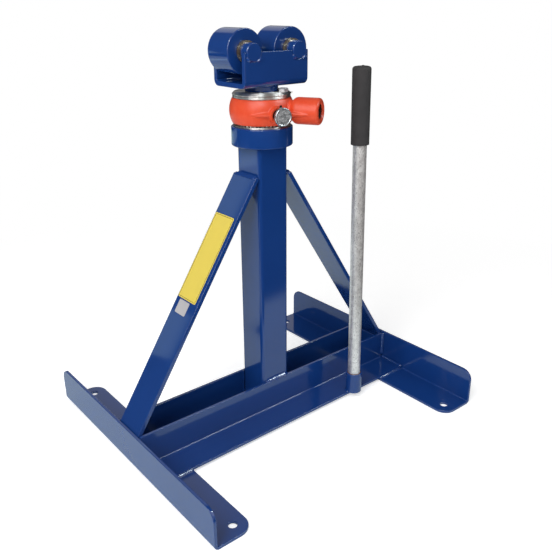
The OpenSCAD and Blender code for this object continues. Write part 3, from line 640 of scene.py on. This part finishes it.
def baseRuns(bead):
    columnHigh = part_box("column_tube")[1]
    half, columnTop = columnHigh[0], columnHigh[2]
    braceLow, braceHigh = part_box("left_brace")
    railLow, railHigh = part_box("front_rail")
    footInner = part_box("left_foot")[1][0]
    holderLow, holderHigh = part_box("handle_holder")
    footZ = braceFootHeight()
    rise = footZ - braceLow[2]
    wide = braceHigh[1] - bead["braceInset"] * mm
    plate = railLow[2]  # the rails lie on the feet's lower legs
    runs = []

    def weld(start, end, size):
        runs.append(([start, end], size))

    for side in (-1, 1):
        for out, lift, size in bead["braceTops"]:
            x = side * (half + out * mm)
            z = braceHigh[2] - rise + lift * mm
            weld((x, -wide, z), (x, wide, z), size)
        x = side * -braceLow[0]  # brace feet, across and down both edges
        weld((x, -wide, footZ), (x, wide, footZ), bead["braceFoot"])
        weld((x, -wide, footZ - rise), (x, wide, footZ - rise), bead["braceUnder"])
        for edge in (-braceHigh[1], braceHigh[1]):
            weld((x, edge, footZ - rise), (x, edge, footZ), bead["braceEdge"])
        railEnd = side * (railHigh[0] + bead["railOut"] * mm)
        for y in (-1, 1):  # rail ends and toes on the feet, and the column's corners between the rails
            upright = y * (half + plate)
            toe = y * -railLow[1]
            legStart, legEnd = (share * plate for share in bead["legHeights"])
            weld((railEnd, upright, bead["uprightFrom"] * plate), (railEnd, upright, railHigh[2]),
                 bead["railEnd"])
            weld((railEnd, upright, legStart), (railEnd, toe, legEnd), bead["railLeg"])
            weld((-side * footInner, toe, plate), (railEnd, toe, plate), bead["railToe"])
            weld((side * half, y * half, bead["cornerFrom"] * plate), (side * half, y * half, railHigh[2]),
                 bead["columnCorner"])
    for y in (-1, 1):  # rails to the column, and the collar under its edge
        edge = half + mm
        start, end = (share * half for share in bead["railTopReach"])
        weld((start, y * edge, railHigh[2]), (end, y * edge, railHigh[2]), bead["railTop"])
        weld((-half, y * edge, columnTop), (half, y * edge, columnTop), bead["collar"])
        weld((y * edge, -half, columnTop), (y * edge, half, columnTop), bead["collar"])
    centre = [(holderLow[i] + holderHigh[i]) / 2 for i in (0, 1)]
    sleeve = (holderHigh[0] - holderLow[0]) / 2
    runs.append((arcPath((centre[0], centre[1], holderLow[2]), sleeve, 0, 180, "z"), bead["sleeve"]))
    return runs


def screwRuns(bead):
    saddleLow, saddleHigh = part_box("saddle_channel")
    pinLow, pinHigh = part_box("right_roller_pin")
    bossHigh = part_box("saddle_boss")[1]
    pinX, pinZ = ((pinLow[i] + pinHigh[i]) / 2 for i in (0, 2))
    reach = (pinHigh[0] - pinLow[0]) / 2 + mm
    runs = []
    for side in (-1, 1):  # pins, two tacks under each end
        for face in (saddleLow[1], saddleHigh[1]):
            for start in bead["tackStarts"]:
                tack = arcPath((side * pinX, face, pinZ), reach, start, start + bead["tackTurn"], "y")
                runs.append((tack, bead["tack"]))
    runs.append((arcPath((0, 0, bossHigh[2]), bossHigh[0], *fullRing, "z"), bead["boss"]))
    return runs


def makeWelds(look, bead):
    rng = random.Random(look["seed"])
    for body, runs in {"base": baseRuns(bead), "screw": screwRuns(bead)}.items():
        bm = bmesh.new()
        for points, size in runs:
            addBead(bm, points, size, look, rng)
        obj = finishMesh("weldBeads." + body, bm, enamel, look["sharp"])
        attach(obj, body)
        print("weld beads on", body, ":", len(runs))


makeWelds(weldLook, beadLook)


# bare films on the left brace: places along its slope and across it, from the column, in millimetres
filmLook = {
    "yellowFilm": {
        "along": (108.9, 303.0), "across": (-29.0, 36.0), "corner": 4.0, "thick": 0.25, "mat": yellowFilm},
    "yellowFilm.border": {
        "along": (111.2, 300.7), "across": (-26.7, 33.7), "corner": 3.0, "thick": 0.32, "mat": inkFilm,
        "line": 0.9},
    "whiteFilm": {
        "along": (306.0, 335.4), "across": (-12.3, 24.4), "corner": 3.0, "thick": 0.25, "mat": whiteFilm},
}
filmMake = {"gap": 0.02, "cornerSteps": 6, "sharp": 30}


def roundRectangle(along, across, corner):
    points = []
    steps = filmMake["cornerSteps"]
    for cx, cy, start in ((1, 1, 0), (0, 1, 90), (0, 0, 180), (1, 0, 270)):
        middle = (along[cx] + (-corner if cx else corner), across[cy] + (-corner if cy else corner))
        for i in range(steps + 1):
            a = math.radians(start + 90 * i / steps)
            points.append((middle[0] + corner * math.cos(a), middle[1] + corner * math.sin(a)))
    return points


def makeFilms(films):
    low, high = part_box("left_brace")
    top = Vector((high[0], 0, high[2]))
    down = (Vector((low[0], 0, braceFootHeight())) - top).normalized()
    across = Vector((0, 1, 0))
    outward = across.cross(down)
    for name, film in films.items():
        bm = bmesh.new()
        loops = [roundRectangle(film["along"], film["across"], film["corner"])]
        if "line" in film:
            w = film["line"]
            inner = [(film[k][0] + w, film[k][1] - w) for k in ("along", "across")]
            loops.append(roundRectangle(inner[0], inner[1], film["corner"] - w))
        made = []
        for lift in (filmMake["gap"], film["thick"]):
            for loop in loops:
                places = [top + (p[0] * down + p[1] * across + lift * outward) * mm for p in loop]
                made.append([bm.verts.new(place) for place in places])
        n = len(loops)
        count = len(made[0])
        for i in range(count):
            j = (i + 1) % count
            for k in range(n):  # walls
                bm.faces.new((made[k][i], made[k][j], made[n + k][j], made[n + k][i]))
            if n == 2:  # faces of a line
                bm.faces.new((made[0][i], made[0][j], made[1][j], made[1][i]))
                bm.faces.new((made[2][i], made[2][j], made[3][j], made[3][i]))
        if n == 1:
            bm.faces.new(made[0])
            bm.faces.new(made[1])
        obj = finishMesh(name, bm, film["mat"], filmMake["sharp"])
        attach(obj, bodyOf("left_brace"))


makeFilms(filmLook)
print("films laid")


# marks of use: rust where the tube enters its holder, the drip that dipping left on the grip
useLook = {"rustReach": 0.8, "rustThick": 0.9, "rustSeed": 7, "nubWide": 3.6, "nubHigh": 1.7,
           "nubSides": (24, 12), "crown": 0.6, "sharp": 60}


def makeUse(look):
    low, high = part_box("handle_holder")
    tube = frame["nodes"]["handle_tube"].data.vertices
    middle = [(low[i] + high[i]) / 2 for i in (0, 1)]
    radius = (max(v.co.y for v in tube) - min(v.co.y for v in tube)) / 2 + look["rustReach"] * mm
    ring = arcPath((middle[0], middle[1], high[2]), radius, *fullRing, "z")
    bm = bmesh.new()
    addBead(bm, ring, look["rustThick"], weldLook, random.Random(look["rustSeed"]))
    obj = finishMesh("rustStain.holder", bm, rust, look["sharp"])
    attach(obj, bodyOf("handle_holder"))
    grip = frame["nodes"]["handle_grip"].data.vertices
    peak = max(v.co.z for v in grip)
    crown = [v.co for v in grip if v.co.z > peak - look["crown"] * mm]
    centre = sum(crown, Vector()) / len(crown)
    bm = bmesh.new()
    bmesh.ops.create_uvsphere(
        bm, u_segments=look["nubSides"][0], v_segments=look["nubSides"][1], radius=look["nubWide"] * mm)
    bmesh.ops.scale(bm, vec=(1, 1, look["nubHigh"] / look["nubWide"]), verts=bm.verts)
    bmesh.ops.translate(bm, vec=(centre.x, centre.y, peak), verts=bm.verts)
    obj = finishMesh("gripNub", bm, vinylGrip, look["sharp"])
    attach(obj, bodyOf("handle_grip"))


makeUse(useLook)
print("marks of use laid")


# floor and light: metres from the column's foot
floorLook = {
    "paper": "#f4f4f4", "coolPaper": "#e2f3f7", "room": "#262628", "glossGlow": 0.22, "cameraGlow": 0.53,
    "sheetFront": (-0.468, -0.518), "frontSlant": 0.112, "sheetReach": (2.7, 3.1), "sheetRight": (0.5, 0.65),
    "shade": (0.32, 0.06), "shadeEdge": (1.0, 0.8), "clear": (0.75, 1.6), "radius": 4.5, "sides": 96,
    "below": 0.0003,
}


def addFloor(look):
    bm = bmesh.new()
    bmesh.ops.create_circle(bm, cap_ends=True, segments=look["sides"], radius=look["radius"])
    mesh = bpy.data.meshes.new("paleFloor")
    bm.to_mesh(mesh)
    bm.free()
    floor = bpy.data.objects.new("paleFloor", mesh)
    floor.location.z = -look["below"]
    scene.collection.objects.link(floor)
    mat, tree, place = newMaterial("paleFloorPaper")
    ray = addNode(tree, "ShaderNodeLightPath")
    seen = ray.outputs["Is Camera Ray"]
    mirrored = addNode(tree, "ShaderNodeMath", {
        0: ray.outputs["Is Glossy Ray"], 1: ray.outputs["Is Transmission Ray"]}, operation="MAXIMUM")
    spot = addNode(tree, "ShaderNodeSeparateXYZ", {0: place})
    reach = addNode(tree, "ShaderNodeVectorMath", {0: place}, operation="LENGTH").outputs["Value"]
    # gloss shows a white paper sheet that ends in front of the jack, on its right and some way behind it,
    # with the shade between the rails
    slant = addNode(tree, "ShaderNodeMath", {
        0: spot.outputs["X"], 1: look["frontSlant"], 2: spot.outputs["Y"]}, operation="MULTIPLY_ADD")
    scaled = addNode(tree, "ShaderNodeVectorMath", {
        0: place, 1: (1 / look["shade"][0], 1 / look["shade"][1], 0)}, operation="MULTIPLY")
    inward = addNode(tree, "ShaderNodeVectorMath", {0: scaled.outputs[0]}, operation="ABSOLUTE")
    sides = addNode(tree, "ShaderNodeSeparateXYZ", {0: inward.outputs[0]})
    within = addNode(tree, "ShaderNodeMath", {
        0: sides.outputs["X"], 1: sides.outputs["Y"]}, operation="MAXIMUM")
    edges = {
        "sheetFront": slant.outputs[0], "sheetReach": reach, "sheetRight": spot.outputs["X"],
        "shadeEdge": within.outputs[0],
    }
    past = 0.0
    for edge, measure in edges.items():
        beyond = addNode(tree, "ShaderNodeMapRange", {
            "Value": measure, "From Min": look[edge][0], "From Max": look[edge][1]})
        further = addNode(tree, "ShaderNodeMath", {0: past, 1: beyond.outputs[0]}, operation="MAXIMUM")
        past = further.outputs[0]
    bare = addNode(tree, "ShaderNodeMath", {0: mirrored.outputs[0], 1: past}, operation="MULTIPLY")
    cool = addNode(tree, "ShaderNodeMixRGB", {
        "Fac": mirrored.outputs[0], "Color1": linear(look["paper"]), "Color2": linear(look["coolPaper"])})
    paper = addNode(tree, "ShaderNodeMixRGB", {
        "Fac": bare.outputs[0], "Color1": cool.outputs[0], "Color2": linear(look["room"])})
    sheen = addNode(tree, "ShaderNodeMapRange", {"Value": past, "To Min": look["glossGlow"], "To Max": 0.0})
    inGloss = addNode(tree, "ShaderNodeMath", {
        0: mirrored.outputs[0], 1: sheen.outputs[0]}, operation="MULTIPLY")
    shine = addNode(tree, "ShaderNodeMath", {
        0: seen, 1: look["cameraGlow"], 2: inGloss.outputs[0]}, operation="MULTIPLY_ADD")
    shader = addNode(tree, "ShaderNodeBsdfPrincipled", {
        "Base Color": paper.outputs[0], "Roughness": 1.0, "Specular IOR Level": 0.0,
        "Emission Color": cool.outputs[0], "Emission Strength": shine.outputs[0]})
    # far from the jack the camera sees plain white
    white = addNode(tree, "ShaderNodeEmission", {"Color": (1, 1, 1, 1), "Strength": 1.0})
    far = addNode(tree, "ShaderNodeMapRange", {
        "Value": reach, "From Min": look["clear"][0], "From Max": look["clear"][1]})
    away = addNode(tree, "ShaderNodeMath", {0: seen, 1: far.outputs[0]}, operation="MULTIPLY")
    mixed = addNode(tree, "ShaderNodeMixShader", {
        "Fac": away.outputs[0], 1: shader.outputs[0], 2: white.outputs[0]})
    addNode(tree, "ShaderNodeOutputMaterial", {"Surface": mixed.outputs[0]})
    mesh.materials.append(mat)


worldLook = {
    "fill": 0.43, "front": 0.05, "room": 0.07, "turn": (0.30, 0.75), "frontRight": (0.6, -0.8, 0.0),
    "glows": {
        "window": {"way": (0.4145, 0.7796, 0.4695), "edge": (0.925, 0.975), "glow": 0.66},
        "hall": {"way": (-0.4226, -0.9063, 0.0), "edge": (0.52, 0.70), "glow": 0.75},
        "ceiling": {"way": (-0.22, -0.31, 0.925), "edge": (0.80, 0.90), "glow": 0.35},
        "skylight": {"way": (0.52, -0.64, 0.56), "edge": (0.92, 0.98), "glow": 1.8},
    },
}


def addWorld(look):
    # the camera sees white; gloss sees a dim room, darkest on the front right, with a window at the back,
    # a bright hall behind the camera, a lit ceiling and a skylight on the front right
    world = bpy.data.worlds.new("paleStudio")
    scene.world = world
    world.use_nodes = True
    tree = world.node_tree
    tree.nodes.clear()
    ray = addNode(tree, "ShaderNodeLightPath")
    way = addNode(tree, "ShaderNodeTexCoord").outputs["Generated"]
    ahead = addNode(tree, "ShaderNodeVectorMath", {0: way, 1: look["frontRight"]}, operation="DOT_PRODUCT")
    studio = addNode(tree, "ShaderNodeMapRange", {
        "Value": ahead.outputs["Value"], "From Min": look["turn"][0], "From Max": look["turn"][1],
        "To Min": look["room"], "To Max": look["front"]})
    for glow in look["glows"].values():
        toward = addNode(tree, "ShaderNodeVectorMath", {0: way, 1: glow["way"]}, operation="DOT_PRODUCT")
        pane = addNode(tree, "ShaderNodeMapRange", {
            "Value": toward.outputs["Value"], "From Min": glow["edge"][0], "From Max": glow["edge"][1],
            "To Min": 0.0, "To Max": glow["glow"]}, interpolation_type="SMOOTHSTEP")
        studio = addNode(tree, "ShaderNodeMath", {
            0: studio.outputs[0], 1: pane.outputs[0]}, operation="MAXIMUM")
    mirrored = addNode(tree, "ShaderNodeMath", {
        0: ray.outputs["Is Glossy Ray"], 1: ray.outputs["Is Transmission Ray"]}, operation="MAXIMUM")
    fill = addNode(tree, "ShaderNodeMixRGB", {
        "Fac": mirrored.outputs[0], "Color1": (look["fill"],) * 3 + (1,), "Color2": studio.outputs[0]})
    shown = addNode(tree, "ShaderNodeMixRGB", {
        "Fac": ray.outputs["Is Camera Ray"], "Color1": fill.outputs[0], "Color2": (1, 1, 1, 1)})
    sky = addNode(tree, "ShaderNodeBackground", {"Color": shown.outputs[0], "Strength": 1.0})
    addNode(tree, "ShaderNodeOutputWorld", {"Surface": sky.outputs[0]})


# the key is a tall softbox on the left, with a low fill in front of the rails, both in watts; the cards
# behind the jack, the strip and the small lamp show only as reflections, and their glow is how bright
# they look
lamps = {
    "keySoftbox": {"place": (-1.66, -0.69, 1.83), "aim": (0, 0, 0.4), "size": (1.2, 1.7), "power": 37},
    "frontFill": {"place": (0.10, -1.25, 0.55), "aim": (0.05, 0, 0.05), "size": (1.2, 0.4), "power": 2.2,
                  "shows": "matt"},
    "braceCardTop": {"place": (-0.347, 0.5, 0.80), "size": (0.10, 0.19), "lean": 32, "glow": 0.80},
    "braceCardLow": {"place": (-0.61, 0.5, 0.39), "size": (0.10, 0.15), "lean": 32, "glow": 0.80},
    "collarCard": {"place": (0.04, 0.5, 0.552), "size": (0.92, 0.038), "glow": 0.85},
    "columnCard": {"place": (-0.415, 0.5, 0.475), "size": (0.08, 0.07), "glow": 0.65},
    "glintStrip": {"place": (1.2, -1.25, 1.75), "aim": (1.2, -0.04, 0.05), "size": (1.4, 0.22),
                   "glow": 27.0, "colour": "#e6f6fa"},
    "sparkLamp": {"place": (-1.15, -1.45, 1.95), "aim": (0, 0, 0.4), "size": (0.30, 0.30),
                  "glow": 60.0, "colour": "#e6f6fa"},
}
cardLook = {"colour": "#d0f1f4", "facing": (0, -1, 0)}  # the cards face the front


def addLamps(lamps, card):
    for name, lamp in lamps.items():
        data = bpy.data.lights.new(name, "AREA")
        data.shape = "RECTANGLE"
        data.size, data.size_y = lamp["size"]
        place = Vector(lamp["place"])
        facing = Vector(lamp["aim"]) - place if "aim" in lamp else Vector(card["facing"])
        lean = Matrix.Rotation(math.radians(lamp.get("lean", 0)), 3, "Z").to_quaternion()
        obj = bpy.data.objects.new(name, data)
        obj.location = place
        obj.rotation_euler = (facing.to_track_quat("-Z", "Y") @ lean).to_euler()
        obj.visible_camera = False
        if "glow" in lamp:
            data.energy = lamp["glow"] * math.pi * data.size * data.size_y
            data.color = linear(lamp.get("colour", card["colour"]))[:3]
            obj.visible_diffuse = False
        else:
            data.energy = lamp["power"]
            obj.visible_glossy = lamp.get("shows") != "matt"
        scene.collection.objects.link(obj)


addFloor(floorLook)
addWorld(worldLook)
addLamps(lamps, cardLook)
print("floor and light set")
